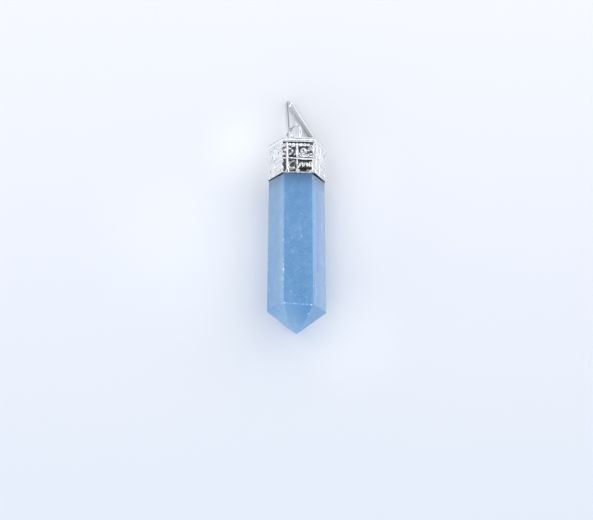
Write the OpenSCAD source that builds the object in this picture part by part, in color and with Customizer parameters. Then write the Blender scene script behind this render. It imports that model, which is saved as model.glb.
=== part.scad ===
/* [Crystal] */
// Width of the crystal across its flats at the shoulder
crystal_flats = 7.8; // [6.6:0.1:9.4]
// How much narrower the crystal is across its flats at the foot of the cap
crystal_taper = 0.38; // [0.1:0.02:0.8]
// Length of the crystal from its shoulder to the foot of the cap
shank_len = 21; // [15:0.5:28]
// Length of the six-sided point below the shoulder
point_len = 3.35; // [2:0.05:6]
// Length of the crystal that is hidden in the cap
seat_len = 4.4; // [3:0.1:4.6]
// Bevel on the hidden end of the crystal
seat_bevel = 0.5; // [0.2:0.1:1]

/* [Cap] */
// Length of the cap along the crystal
cap_len = 5.85; // [5.4:0.05:7]
// Thickness of the stamped sheet
sheet_t = 0.2; // [0.15:0.01:0.3]
// How far the foot of the cap stands proud of the crystal
cap_proud = 0.08; // [0.04:0.01:0.2]
// How much wider the cap is across its flats at its head than at its foot
cap_flare = 0.48; // [0.2:0.02:0.8]
// Radius of the rounded edge between the sides of the cap and its top
rim_r = 0.45; // [0.25:0.05:0.6]
// Gap for glue between the crystal and the cap
glue_gap = 0.04; // [0.03:0.01:0.08]

/* [Stamped relief] */
// Height of the borders, the ribs and the scrolls above the sheet
relief_h = 0.1; // [0.06:0.01:0.16]
// Height of the border around the foot of the cap
foot_border = 0.26; // [0.15:0.01:0.4]
// Height of the border around the head of the cap
head_border = 0.86; // [0.7:0.02:1]
// Height of the middle border above the foot of the cap
mid_border_y = 2.3; // [2:0.05:2.6]
// Width of the middle border, the ribs and the scrolls
rib_w = 0.24; // [0.16:0.01:0.3]
// Radius of the button in the middle of each rosette
button_r = 0.42; // [0.3:0.02:0.46]
// Number of petals around each button
petals = 8; // [7:1:9]
// Radius of the scallops under the head border
scallop_r = 0.22; // [0.14:0.01:0.28]

/* [Eye] */
// Outer diameter of the ring that is soldered on the cap
eye_outer = 3.8; // [3.6:0.1:4.6]
// Diameter of the ring's wire
eye_wire = 0.5; // [0.4:0.05:0.6]
// Depth of the ring's wire in the top of the cap
eye_sink = 0.1; // [0.03:0.01:0.12]
// How far the ring stands to the left of the middle
eye_left = 0.38; // [0:0.02:0.7]
// Turn of the ring about the crystal, from lying flat
eye_turn = 59; // [50:1:70]
// Radius of the solder at its foot
solder_r = 0.75; // [0.6:0.05:1]
// Height of the solder
solder_h = 0.4; // [0.25:0.05:0.6]

/* [Bail] */
// Width of the bail's triangle, before its corners are bent round
bail_w = 6.16; // [5.4:0.02:7]
// Height of the bail's triangle, before its corners are bent round
bail_h = 7.48; // [6.4:0.02:9]
// Width of the bail's strip
strip_w = 0.9; // [0.7:0.05:1.2]
// Thickness of the bail's strip
strip_t = 0.36; // [0.25:0.01:0.42]
// Radius of the bend at the head of the bail, at the middle of the strip
head_bend = 0.7; // [0.4:0.05:0.8]
// Radius of the two bends at the base of the bail, at the middle of the strip
base_bend = 0.7; // [0.5:0.05:0.9]
// Room between the bail and the ring where the bail leans
bail_gap = 0.07; // [0.05:0.01:0.12]
// Place where the bail leans in the ring, as an angle around the ring
lean_angle = 115; // [100:1:125]
// Place where the ring crosses the base of the bail, as a share of its width
ring_share = 0.76; // [0.72:0.01:0.8]

/* [Hidden] */
$fn = 48;

sides = 6;
face_turn = 360 / sides;
overrun = 1;
// Half width of the blunt tip of the crystal
tip_blunt = 0.04;
// Depth to which the relief is rooted in the sheet and in the borders
root = sheet_t / 2;
// How much lower the relief is than the borders
relief_step = relief_h / 5;
// Room between two scallops
scallop_gap = 0.03;
// Size of a petal as a share of the room round its button, and how far out
// its middle lies as a share of its radius
petal_size = 1.2;
petal_reach = 0.8;
// Middles of the three ribs, as shares of the width of a face
left_rib_x = -0.42;
inner_rib_x = -0.05;
right_rib_x = 0.44;

// Half widths across the flats, from the axis to a face
shoulder_half = crystal_flats / 2;
shank_half = shoulder_half - crystal_taper / 2;
border_foot_half = shank_half + cap_proud;
sheet_foot_half = border_foot_half - relief_h;
sheet_head_half = sheet_foot_half + cap_flare / 2;
border_head_half = sheet_head_half + relief_h;
seat_half = sheet_foot_half - sheet_t - glue_gap;

// Places along the axis, from the shoulder of the crystal
cap_foot_y = shank_len + glue_gap;
cap_head_y = shank_len + cap_len;
wall_len = cap_head_y - rim_r - cap_foot_y;
flare_angle = atan((sheet_head_half - sheet_foot_half) / wall_len);

// The pendant lies on the shoulder of the crystal and on the rim of the cap
rest_span = cap_head_y - rim_r;
lie_angle = atan((border_head_half - shoulder_half) / rest_span);
axis_z = shoulder_half * cos(lie_angle);

// Half width of the sheet at a height above the foot of the cap
function sheet_half(v) = sheet_foot_half + v * tan(flare_angle);

// Width of one face of a six-sided body with this half width
function face_width(half) = 2 * half * tan(face_turn / 2);

// Points of a quarter round that closes a wall at the top
function rim_points(half, top, r, steps = 6) =
    [for (i = [0:steps]) [half - r + r * cos(90 * i / steps), top - r + r * sin(90 * i / steps)]];

// The same outline across each pair of flats, from foot to head
module slab(profile, turn) {
    mirrored = [for (i = [len(profile) - 1:-1:0]) [-profile[i][0], profile[i][1]]];
    rotate([0, 90 + turn, 0])
        linear_extrude(height = 4 * shoulder_half, center = true)
            polygon(concat(profile, mirrored));
}

// A six-sided body whose half width follows the profile along its axis
module six_sided(profile) {
    intersection() {
        slab(profile, 0);
        slab(profile, face_turn);
        slab(profile, 2 * face_turn);
    }
}

// Laid down as it rests, with the middle of its box above the origin
module lying() {
    translate([0, -middle_y, axis_z])
        rotate([lie_angle, 0, 0])
            children();
}

module crystal_body() {
    seat_y = shank_len + seat_len;
    six_sided([
        [tip_blunt, -point_len],
        [shoulder_half, 0],
        [shank_half, shank_len],
        [seat_half, shank_len],
        [seat_half, seat_y - seat_bevel],
        [seat_half - seat_bevel, seat_y]
    ]);
}

// The stamped sheet with its three borders
module cap_shell() {
    mid_foot = mid_border_y;
    mid_head = mid_border_y + rib_w;
    head_foot = cap_len - glue_gap - head_border;
    difference() {
        six_sided(concat(
            [
                [border_foot_half, cap_foot_y],
                [sheet_half(foot_border) + relief_h, cap_foot_y + foot_border],
                [sheet_half(foot_border), cap_foot_y + foot_border],
                [sheet_half(mid_foot), cap_foot_y + mid_foot],
                [sheet_half(mid_foot) + relief_h, cap_foot_y + mid_foot],
                [sheet_half(mid_head) + relief_h, cap_foot_y + mid_head],
                [sheet_half(mid_head), cap_foot_y + mid_head],
                [sheet_half(head_foot), cap_foot_y + head_foot],
                [sheet_half(head_foot) + relief_h, cap_foot_y + head_foot]
            ],
            rim_points(border_head_half, cap_head_y, rim_r)
        ));
        six_sided([
            [sheet_half(-overrun) - sheet_t, cap_foot_y - overrun],
            [sheet_half(wall_len) - sheet_t, cap_head_y - rim_r],
            [sheet_half(wall_len) - rim_r, cap_head_y - sheet_t]
        ]);
    }
}

// Puts relief on a face of the cap, with its foot at the middle of the foot
module on_face(index) {
    rotate([0, face_turn * index, 0])
        translate([0, cap_foot_y, sheet_foot_half])
            rotate([flare_angle, 0, 0])
                children();
}

// An open ring with its gap turned to an angle
module scroll(r, gap_turn, gap_share) {
    half_gap = 180 * gap_share;
    difference() {
        circle(r);
        circle(r - rib_w);
        rotate(gap_turn)
            polygon([[0, 0], 2 * r * [cos(half_gap), -sin(half_gap)], [2 * r, 0],
                     2 * r * [cos(half_gap), sin(half_gap)]]);
    }
}

module rosette() {
    petal_r = petal_size * button_r * sin(180 / petals);
    circle(button_r);
    for (i = [0:petals - 1])
        rotate(i * 360 / petals)
            translate([button_r + petal_reach * petal_r, 0])
                circle(petal_r);
}

// The ornament of one face: ribs, a rosette, scrolls and scallops
module face_pattern() {
    face_w = face_width(sheet_foot_half);
    left_rib = left_rib_x * face_w;
    inner_rib = inner_rib_x * face_w;
    right_rib = right_rib_x * face_w;
    left_panel = (left_rib + inner_rib) / 2;
    right_panel = (inner_rib + right_rib) / 2;
    right_panel_w = right_rib - inner_rib - rib_w;
    upper_foot = mid_border_y + rib_w;
    upper_head = cap_len - glue_gap - head_border;
    upper_middle = (upper_foot + upper_head) / 2;
    lower_middle = (foot_border + mid_border_y) / 2;
    scroll_r = right_panel_w / 4;
    scallops = floor(right_panel_w / (2 * scallop_r));

    for (x = [left_rib, inner_rib, right_rib])
        translate([x - rib_w / 2, foot_border - root])
            square([rib_w, upper_head - foot_border + 2 * root]);
    translate([right_panel, upper_middle])
        rosette();
    for (i = [0:scallops - 1])
        translate([right_panel + (i - (scallops - 1) / 2) * 2 * scallop_r, upper_head])
            circle(scallop_r - scallop_gap / 2);
    translate([left_panel, upper_middle])
        scroll(scroll_r, 60, 0.25);
    translate([left_panel, lower_middle])
        scroll(scroll_r, -120, 0.25);
    for (side = [-1, 1])
        translate([right_panel + side * scroll_r, lower_middle])
            scroll(scroll_r + rib_w / 2, side * 90, 0.4);
}

// Raised from inside the sheet to a little less than the borders
module face_relief() {
    translate([0, 0, -root])
        linear_extrude(height = root + relief_h - relief_step)
            face_pattern();
}

// The ring in its own plane, its middle at the origin
eye_ring_r = (eye_outer - eye_wire) / 2;
eye_y = cap_head_y + eye_outer / 2 - eye_sink;

module eye_ring() {
    translate([-eye_left, eye_y, 0])
        rotate([0, -eye_turn, 0])
            rotate_extrude()
                translate([eye_ring_r, 0])
                    circle(d = eye_wire, $fn = 24);
}

module solder() {
    translate([-eye_left, cap_head_y - sheet_t / 2, 0])
        rotate([-90, 0, 0])
            cylinder(r1 = solder_r, r2 = eye_wire / 2, h = solder_h + sheet_t / 2);
}

// The bail is a flat strip bent to a triangle. Its right leg lies on the
// surface and its base leans in the ring, so its pose is worked out.
leg_slope = atan(bail_w / 2 / bail_h);
head_corner = 90 - leg_slope;

// The bail's dip towards its head that lays its right leg level
function dip_for(roll) = asin(tan(leg_slope) * tan(roll));

// Height of the middle line of the right leg when its edge is on the surface
function leg_height(roll, dip) =
    strip_t / 2 * (cos(leg_slope) * sin(roll) + sin(leg_slope) * cos(roll) * sin(dip))
    + strip_w / 2 * cos(roll) * cos(dip);

// The bail's own directions: along its base, to its head, through its opening
function along(roll, dip) = [cos(roll), 0, -sin(roll)];
function to_head(roll, dip) = [-sin(roll) * sin(dip), cos(dip), -cos(roll) * sin(dip)];
function through(roll, dip) = [sin(roll) * cos(dip), sin(dip), cos(roll) * cos(dip)];

// The ring's own directions and its middle, as the pendant lies
ring_across = [cos(eye_turn), 0, sin(eye_turn)];
ring_face = [-sin(eye_turn), 0, cos(eye_turn)];
ring_middle = [-eye_left, eye_y * cos(lie_angle), axis_z + eye_y * sin(lie_angle)];

// A step off the strip's middle line, carried along the base into the plane
// of the ring, as a place across the ring and along the crystal
function in_ring(step, base) =
    let (p = step - base * (step * ring_face) / (base * ring_face))
    [p * ring_across, p[1]];

function strip_corners(roll, dip) =
    [for (s = [-1, 1], t = [-1, 1])
        in_ring(s * strip_w / 2 * through(roll, dip) + t * strip_t / 2 * to_head(roll, dip),
                along(roll, dip))];

// How far the strip can move towards the leaning place before a corner
// comes within the gap of the ring
function reach(corner, r) =
    let (u = [cos(lean_angle), sin(lean_angle)], c = u * corner)
    sqrt(c * c - corner * corner + r * r) - c;

function strip_reach(roll, dip) =
    min([for (c = strip_corners(roll, dip)) reach(c, eye_ring_r - eye_wire / 2 - bail_gap)]);

function crossing(roll, dip) =
    ring_middle + strip_reach(roll, dip)
    * (cos(lean_angle) * ring_across + [0, sin(lean_angle), 0]);

// The roll at which the base runs from the surface up to the crossing
function settle(roll, rounds) =
    rounds == 0 ? roll :
    let (dip = dip_for(roll),
         rise = crossing(roll, dip)[2] - leg_height(roll, dip))
    settle(asin(rise / (ring_share * bail_w)), rounds - 1);

bail_roll = settle(40, 30);
bail_dip = dip_for(bail_roll);
base_middle = crossing(bail_roll, bail_dip)
    + (ring_share - 0.5) * bail_w * along(bail_roll, bail_dip);

// Middle of each bend, measured from the middle of the base
function bends() = [
    [[0, bail_h - head_bend / sin(leg_slope)], head_bend, leg_slope, 180 - leg_slope],
    [[-bail_w / 2 + base_bend / tan(head_corner / 2), base_bend], base_bend, 180 - leg_slope, 270],
    [[bail_w / 2 - base_bend / tan(head_corner / 2), base_bend], base_bend, -90, leg_slope]
];

function bail_outline(grow, steps = 12) =
    [for (bend = bends(), i = [0:steps])
        let (angle = bend[2] + (bend[3] - bend[2]) * i / steps)
        bend[0] + (bend[1] + grow) * [cos(angle), sin(angle)]];

// The box of the whole part runs from the crystal's point to the bail's head
tip_y = -point_len * cos(lie_angle);
head_arc_y = bends()[0][0][1] + head_bend + strip_t / 2;
bail_end_y = base_middle[1] + head_arc_y * cos(bail_dip) + strip_w / 2 * sin(bail_dip);
middle_y = (tip_y + bail_end_y) / 2;

module crystal() {
    color([0.50, 0.67, 0.85])
        lying()
            crystal_body();
}

module cap() {
    color("silver")
        lying() {
            cap_shell();
            for (i = [0:sides - 1])
                on_face(i) face_relief();
            solder();
            eye_ring();
        }
}

module bail() {
    color("silver")
        translate(base_middle - [0, middle_y, 0])
            rotate([-bail_dip, bail_roll, 0])
                linear_extrude(height = strip_w, center = true)
                    difference() {
                        polygon(bail_outline(strip_t / 2));
                        polygon(bail_outline(-strip_t / 2));
                    }
}

crystal();
cap();
bail();
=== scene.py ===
# %% [markdown]
# A crystal point pendant lies on a pale board. It is a six-sided stick of milky blue stone with a
# point, in a thin stamped cap of silver-plated sheet, with a wire ring soldered on the cap and a
# flat strip bent to a triangle hanging loose in the ring.
# The solids are loaded first, because each piece made here lies exactly where its solid lies.

# %% Load the solids
import math
import random

import bpy
import numpy as np
from mathutils import Matrix, Vector, noise


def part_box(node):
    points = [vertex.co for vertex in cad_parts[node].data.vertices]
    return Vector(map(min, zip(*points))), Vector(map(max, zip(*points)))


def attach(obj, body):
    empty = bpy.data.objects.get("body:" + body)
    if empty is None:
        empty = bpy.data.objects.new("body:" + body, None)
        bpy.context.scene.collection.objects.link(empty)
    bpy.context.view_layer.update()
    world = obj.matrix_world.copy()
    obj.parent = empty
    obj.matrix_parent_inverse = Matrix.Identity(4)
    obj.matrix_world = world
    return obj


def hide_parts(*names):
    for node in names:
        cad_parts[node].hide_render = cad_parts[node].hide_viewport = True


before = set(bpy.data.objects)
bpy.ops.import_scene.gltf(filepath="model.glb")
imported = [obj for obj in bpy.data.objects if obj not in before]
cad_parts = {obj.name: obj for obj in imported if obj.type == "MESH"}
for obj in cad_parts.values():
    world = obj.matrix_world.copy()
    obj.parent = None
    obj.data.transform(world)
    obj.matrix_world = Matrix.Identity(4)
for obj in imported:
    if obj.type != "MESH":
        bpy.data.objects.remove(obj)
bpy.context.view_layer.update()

# %% [markdown]
# A pendant is a small thing, and metres are a poor unit for it. So every piece is modelled at one
# unit to the millimetre, standing upright as if it hung on a wall: its point is below, its cap
# above, and the face that the photograph shows looks towards -Y. The middle of the crystal's
# shoulder, where the point begins, is the origin.
# Only a finished piece is laid down and made small, in one step, and its place is then in its mesh.

# %% Sizes of the pendant in millimetres
MM = 0.001
SIDES = 6
POINT_LEN = 3.35
CRYSTAL_FLATS = 7.8
CRYSTAL_TAPER = 0.38
SHANK_LEN = 21.0
SEAT_LEN = 4.4
CAP_LEN = 5.85
CAP_PROUD = 0.08
CAP_FLARE = 0.48
RIM_R = 0.45
RIM_RISE = 0.69
SHEET_T = 0.2
GLUE_GAP = 0.04
RELIEF_H = 0.1
EYE_OUTER = 3.8
EYE_WIRE = 0.5
EYE_SINK = 0.1
EYE_LEFT = 0.38
EYE_TURN = math.radians(59)

shoulder_half = CRYSTAL_FLATS / 2
shank_half = shoulder_half - CRYSTAL_TAPER / 2
sheet_foot_half = shank_half + CAP_PROUD - RELIEF_H
sheet_head_half = sheet_foot_half + CAP_FLARE / 2
cap_foot_z = SHANK_LEN + GLUE_GAP
cap_head_z = SHANK_LEN + CAP_LEN
wall_len = CAP_LEN - GLUE_GAP - RIM_RISE
print("the cap goes from", cap_foot_z, "to", cap_head_z, "mm above the shoulder")

# %% [markdown]
# The pendant rests on two edges: the shoulder of the crystal and the wider rim of the cap. That
# leans its axis by a fraction of a degree, and the lean follows from the two half widths.

# %% How the upright pendant is laid down
lie_angle = math.atan((sheet_head_half + RELIEF_H - shoulder_half) / (cap_head_z - RIM_R))
axis_height = shoulder_half * math.cos(lie_angle) * MM
tip_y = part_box("crystal")[0][1]
shoulder_y = tip_y + POINT_LEN * math.cos(lie_angle) * MM

LAID = (
    Matrix.Translation((0, shoulder_y, axis_height))
    @ Matrix.Rotation(lie_angle - math.radians(90), 4, "X")
    @ Matrix.Scale(MM, 4)
)
print("the axis leans by", round(math.degrees(lie_angle), 2), "degrees")

# %% [markdown]
# A few moves of the hand come back in every piece: take one piece, open it, pick corners or faces by
# their place, and apply a modifier. Each is one short helper. The last one lays a finished piece
# down and hides the solid it stands for.


# %% Small helpers for working by hand
def only(piece):
    """Selects one piece and makes it the active one."""
    if bpy.context.mode != "OBJECT":
        bpy.ops.object.mode_set(mode="OBJECT")
    bpy.ops.object.select_all(action="DESELECT")
    piece.select_set(True)
    bpy.context.view_layer.objects.active = piece


def edit(piece, mode="VERT"):
    """Opens one piece in edit mode with nothing selected."""
    only(piece)
    bpy.ops.object.mode_set(mode="EDIT")
    bpy.ops.mesh.select_mode(type=mode)
    bpy.ops.mesh.select_all(action="DESELECT")


def pick(piece, kind, test):
    """Selects, in edit mode, only the corners, edges or faces that pass a test."""
    bpy.ops.mesh.select_all(action="DESELECT")
    bpy.ops.object.mode_set(mode="OBJECT")
    mesh = piece.data
    for element in getattr(mesh, kind):
        if kind == "vertices":
            place = element.co
        elif kind == "edges":
            ends = [mesh.vertices[i].co for i in element.vertices]
            place = (ends[0] + ends[1]) / 2
        else:
            place = element.center
        element.select = bool(test(place, element))
    bpy.ops.object.mode_set(mode="EDIT")


def apply_modifier(piece, kind, **settings):
    """Adds a modifier, sets it and applies it."""
    only(piece)
    bpy.ops.object.modifier_add(type=kind)
    modifier = piece.modifiers[-1]
    for name, value in settings.items():
        setattr(modifier, name, value)
    bpy.ops.object.modifier_apply(modifier=modifier.name)


def finish_piece(piece, name, nodes, turn=LAID):
    """Lays a finished upright piece down at its real size and hands it to the frame."""
    only(piece)
    piece.name = name
    piece.data.name = name
    piece.matrix_world = turn
    bpy.ops.object.transform_apply(location=True, rotation=True, scale=True)
    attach(piece, "root")
    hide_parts(*nodes)
    low = [round(1000 * min(v.co[i] for v in piece.data.vertices), 2) for i in range(3)]
    high = [round(1000 * max(v.co[i] for v in piece.data.vertices), 2) for i in range(3)]
    print(name, "from", low, "to", high, "mm,", len(piece.data.polygons), "faces")


# %% [markdown]
# The camera stands almost over the pendant, a little towards its point, as a photographer leans
# over a table. A long lens from nearly half a metre keeps the six-sided body from spreading. The
# picture is rolled a little, because the camera was held a few degrees out of level.

# %% Camera
CAMERA_ELEVATION = math.radians(69.52)
CAMERA_AZIMUTH = math.radians(-10.04)
CAMERA_ROLL = math.radians(10.67)
CAMERA_DISTANCE = 450 * MM
CAMERA_AIM = Vector((-0.21, -8.84, 6.6)) * MM
CAMERA_LENS = 182.05

bpy.ops.object.camera_add()
camera = bpy.context.object
camera.name = "camera"
camera.data.lens = CAMERA_LENS
camera.data.sensor_fit = "HORIZONTAL"
camera.data.clip_start = 0.01
towards_camera = Vector((
    math.sin(CAMERA_AZIMUTH) * math.cos(CAMERA_ELEVATION),
    -math.cos(CAMERA_AZIMUTH) * math.cos(CAMERA_ELEVATION),
    math.sin(CAMERA_ELEVATION),
))
camera.location = CAMERA_AIM + CAMERA_DISTANCE * towards_camera
level = (-towards_camera).to_track_quat("-Z", "Y").to_matrix().to_4x4()
camera.rotation_euler = (level @ Matrix.Rotation(CAMERA_ROLL, 4, "Z")).to_euler()
bpy.context.scene.camera = camera
print("camera at", [round(1000 * v) for v in camera.location], "mm")

# %% [markdown]
# The finishes are built from a few steps that repeat: a noise, a change of range, a mix of two
# colours and a product. Each is one short function, so a finish reads like a recipe. The noises
# read the place on the object itself, so the pattern stays on it however the camera moves.


# %% Steps of a finish
def grain(nodes, links, place, scale, detail):
    """A plain noise in space."""
    texture = nodes.new("ShaderNodeTexNoise")
    texture.inputs["Scale"].default_value = scale
    texture.inputs["Detail"].default_value = detail
    links.new(place, texture.inputs["Vector"])
    return texture.outputs["Fac"]


def spread(nodes, links, value, ends, results=(0, 1), kind="LINEAR"):
    """Turns a value between two ends into one between two results."""
    step = nodes.new("ShaderNodeMapRange")
    step.interpolation_type = kind
    for name, number in zip(("From Min", "From Max", "To Min", "To Max"), (*ends, *results)):
        step.inputs[name].default_value = number
    links.new(value, step.inputs["Value"])
    return step.outputs["Result"]


def stone_noise(nodes, links, place, stretch, scale, detail, low, high):
    """A soft pattern from 0 to 1, longer along the stone than across it."""
    long_way = nodes.new("ShaderNodeMapping")
    long_way.inputs["Scale"].default_value = (1, stretch, 1)
    links.new(place, long_way.inputs["Vector"])
    pattern = grain(nodes, links, long_way.outputs["Vector"], scale, detail)
    return spread(nodes, links, pattern, (low, high))


def tint(nodes, links, colour, amount, other):
    """Mixes another colour into a colour by an amount."""
    blend = nodes.new("ShaderNodeMix")
    blend.data_type = "RGBA"
    blend.inputs["B"].default_value = other
    if isinstance(colour, tuple):
        blend.inputs["A"].default_value = colour
    else:
        links.new(colour, blend.inputs["A"])
    links.new(amount, blend.inputs["Factor"])
    return blend.outputs["Result"]


def times(nodes, links, amount, factor):
    """An amount times a plain factor, or times another amount."""
    product = nodes.new("ShaderNodeMath")
    product.operation = "MULTIPLY"
    links.new(amount, product.inputs[0])
    if isinstance(factor, float):
        product.inputs[1].default_value = factor
    else:
        links.new(factor, product.inputs[1])
    return product.outputs["Value"]


def layer(nodes, links, colour, amount, share, other):
    """Lays another colour over a colour, by an amount and at most by a share."""
    return tint(nodes, links, colour, times(nodes, links, amount, share), other)


print("steps ready: grain, spread, noise, tint, times and layer")

# %% [markdown]
# Three more steps are a soft border, a soft patch at a chosen place and fine scratches. A patch is
# set by where it lies in the view from above, so it can be put where the photo shows it. A painted
# picture could do that too, but it would need a flat unwrapping of each piece.

# %% Borders, patches and scratches
STREAK_TALL = 0.02


def fade(nodes, links, value, low, high):
    """A soft step: 0 where a value is at its low end and 1 where it is at its high end."""
    return spread(nodes, links, value, (low, high), kind="SMOOTHSTEP")


def streak(nodes, links, place, middle, length, width, turn):
    """A soft streak or patch, seen from above: 1 in its middle and 0 beyond its length and width."""
    fitted = nodes.new("ShaderNodeMapping")
    fitted.vector_type = "TEXTURE"
    fitted.inputs["Location"].default_value = (middle[0] * MM, middle[1] * MM, axis_height)
    fitted.inputs["Rotation"].default_value = (0, 0, math.radians(turn))
    fitted.inputs["Scale"].default_value = (width / 2 * MM, length / 2 * MM, STREAK_TALL)
    away = nodes.new("ShaderNodeVectorMath")
    away.operation = "LENGTH"
    links.new(place, fitted.inputs["Vector"])
    links.new(fitted.outputs["Vector"], away.inputs[0])
    return fade(nodes, links, away.outputs["Value"], 1, 0)


def fine_bump(nodes, links, place, scale, detail, strength, depth):
    """The normals of a surface with fine scratches. Their depth is in metres."""
    bump = nodes.new("ShaderNodeBump")
    bump.inputs["Strength"].default_value = strength
    bump.inputs["Distance"].default_value = depth
    links.new(grain(nodes, links, place, scale, detail), bump.inputs["Height"])
    return bump.outputs["Normal"]


print("steps ready: fade, streak and bump")

# %% [markdown]
# The board is matt and nearly white. Its paint grows a little darker and bluer towards the
# photographer: that is painted shade, where less light falls. It is large, so that its far edge
# never shows, also in a low view. Light that bounces back from the things on a table falls on it
# unevenly. Those things are out of the picture, so they could be built as reflectors, but a few soft
# patches of painted light in the paint do the same and are easier to set.

# %% Board
BOARD_SIZE = 1.2
BOARD_LIGHT = (0.85, 0.85, 0.87, 1)
# painted shade: the board's colour towards the photographer
BOARD_PAINTED_SHADE = (0.725, 0.77, 0.83, 1)
BOARD_SHADE_FADE = (0.045, -0.055)
BOARD_ROUGHNESS, BOARD_GLOSS = 0.6, 0.2
# painted light: the colour of the soft lighter patches
BOARD_PAINTED_LIGHT = (0.97, 0.985, 1.0, 1)
BOARD_LIGHT_PATCHES = [
    # middle x and y in millimetres, length along y, width along x, strength
    ((-7.5, 11.5), 20.0, 19.0, 0.68),
    ((-9.0, -3.0), 44.0, 54.0, 0.46),
    ((7.0, 4.0), 34.0, 26.0, 0.35),
    ((8.0, -19.0), 22.0, 24.0, 0.30),
]

bpy.ops.mesh.primitive_plane_add(size=BOARD_SIZE)
board = bpy.context.object
board.name = "board"
board_paint = bpy.data.materials.new("pale_board")
board_paint.use_nodes = True
board_nodes = board_paint.node_tree.nodes
board_links = board_paint.node_tree.links
board_shader = board_nodes["Principled BSDF"]
board_shader.inputs["Roughness"].default_value = BOARD_ROUGHNESS
board_shader.inputs["Specular IOR Level"].default_value = BOARD_GLOSS
board_place = board_nodes.new("ShaderNodeTexCoord").outputs["Object"]
board_split = board_nodes.new("ShaderNodeSeparateXYZ")
board_links.new(board_place, board_split.inputs["Vector"])
# painted shade, darker and bluer towards the photographer
shade_towards_us = spread(board_nodes, board_links, board_split.outputs["Y"], BOARD_SHADE_FADE)
board_colour = tint(board_nodes, board_links, BOARD_LIGHT, shade_towards_us, BOARD_PAINTED_SHADE)
# painted light: soft lighter patches of bounced light
for *patch, strength in BOARD_LIGHT_PATCHES:
    painted_light = streak(board_nodes, board_links, board_place, *patch, 0)
    board_colour = layer(board_nodes, board_links, board_colour, painted_light, strength, BOARD_PAINTED_LIGHT)
board_links.new(board_colour, board_shader.inputs["Base Color"])
board.data.materials.append(board_paint)
print("the board has", len(BOARD_LIGHT_PATCHES), "lighter patches")

# %% [markdown]
# Silver shows nothing of its own, only what stands around it, so the room matters more than the
# metal. Its walls are bright, and the ceiling above the pendant is dark. The flat front of the cap
# mirrors that ceiling, and each rib on it leans far enough to catch a bright wall. A picture of a
# real room would do as well, but soft round zones of light can be set one by one against the photo.

# %% Room light
WALL_LIGHT = (0.99, 1.045, 1.13, 1)
ROOM_STRENGTH = 1.0
ZONES = [
    # towards, full within and gone beyond (degrees), light: the window on the right, the open side
    # where the photographer stands, the dull wall on the left, the dark foot of all walls, and the
    # dark ceiling
    ((0.90, 0.05, 0.42), 20, 44, (1.54, 1.54, 1.62, 1)),
    ((-0.50, -0.82, 0.30), 22, 46, (2.00, 2.03, 2.10, 1)),
    ((-0.91, -0.27, 0.32), 10, 24, (0.62, 0.65, 0.71, 1)),
    ((0.0, 0.0, -1.0), 99, 107, (0.22, 0.24, 0.28, 1)),
    ((0.06, 0.27, 0.96), 4, 30, (0.06, 0.07, 0.09, 1)),
]

scene = bpy.context.scene
scene.view_settings.view_transform = "Standard"
room = bpy.data.worlds.new("studio_room")
scene.world = room
room.use_nodes = True
room_nodes = room.node_tree.nodes
room_links = room.node_tree.links
direction = room_nodes.new("ShaderNodeTexCoord")


def light_zone(light_before, towards, full_within, gone_beyond, light):
    """Paints a soft round patch of other light on the room, around one direction."""
    nearness = room_nodes.new("ShaderNodeVectorMath")
    nearness.operation = "DOT_PRODUCT"
    nearness.inputs[1].default_value = Vector(towards).normalized()
    room_links.new(direction.outputs["Generated"], nearness.inputs[0])
    ends = [math.cos(math.radians(angle)) for angle in (gone_beyond, full_within)]
    amount = fade(room_nodes, room_links, nearness.outputs["Value"], *ends)
    return tint(room_nodes, room_links, light_before, amount, light)


room_light = WALL_LIGHT
for zone in ZONES:
    room_light = light_zone(room_light, *zone)
room_links.new(room_light, room_nodes["Background"].inputs["Color"])
room_nodes["Background"].inputs["Strength"].default_value = ROOM_STRENGTH
print("the room has", len(ZONES), "zones of light")

# %% [markdown]
# The photo has two soft shadows, so two soft boxes stand over the board: one on the left, and a
# lower one behind on the right. They are small and weak beside the room, and a little warm, which
# leaves the shadows blue.

# %% Two soft boxes
SOFT_BOX_COLOUR = (1.0, 0.89, 0.75)
SOFT_BOXES = [
    # name, place in metres, size in metres, power in watts
    ("right_soft_box", (0.15, 0.20, 0.17), 0.20, 0.085),
    ("left_soft_box", (-0.21, 0.03, 0.27), 0.18, 0.09),
]
for name, place, size, power in SOFT_BOXES:
    bpy.ops.object.light_add(type="AREA", location=place)
    lamp = bpy.context.object
    lamp.name = name
    lamp.data.size = size
    lamp.data.energy = power
    lamp.data.color = SOFT_BOX_COLOUR
    lamp.rotation_euler = (-Vector(place)).to_track_quat("-Z", "Y").to_euler()
print("soft boxes:", [row[0] for row in SOFT_BOXES])

# %% [markdown]
# The crystal is cut from one piece of stone: six long flat faces and six short ones that meet in
# the point. A cylinder with six sides is the right start, with the hidden seat for the cap extruded
# at its head. The point could be drawn together by scaling, but a cutter grinds it facet by facet
# and by eye. Bisect does the same: each cut goes through two corners of the shoulder and crosses
# the axis at a depth of its own. So the shoulder isn't quite level, and the front facet takes a
# little off the tip.

# %% Cut the crystal
SEAT_BEVEL = 0.5
SHOULDER_LIFTS = [0.14, -0.10, 0, 0, 0, 0]
FACET_DEPTHS = [3.05, 3.46, 3.46, 3.85, 3.62, 3.62]
FOOT_SPARE = 1.0
across_corners = 1 / math.cos(math.pi / SIDES)


def body_half(z):
    """Half width of the crystal at a height above its shoulder."""
    return shoulder_half + (shank_half - shoulder_half) * z / SHANK_LEN


def corner_place(corner, z):
    """The edge between two long faces, and the way out of the stone there."""
    turn = math.radians(60 * corner - 30)
    way_out = Vector((math.sin(turn), -math.cos(turn), 0))
    return way_out * body_half(z) * across_corners + Vector((0, 0, z)), way_out


bpy.ops.mesh.primitive_cylinder_add(
    vertices=SIDES, radius=shoulder_half * across_corners, depth=SHANK_LEN,
    location=(0, 0, SHANK_LEN / 2), rotation=(0, 0, math.radians(30)))
crystal = bpy.context.object
bpy.ops.object.transform_apply(location=True, rotation=True, scale=True)

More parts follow.
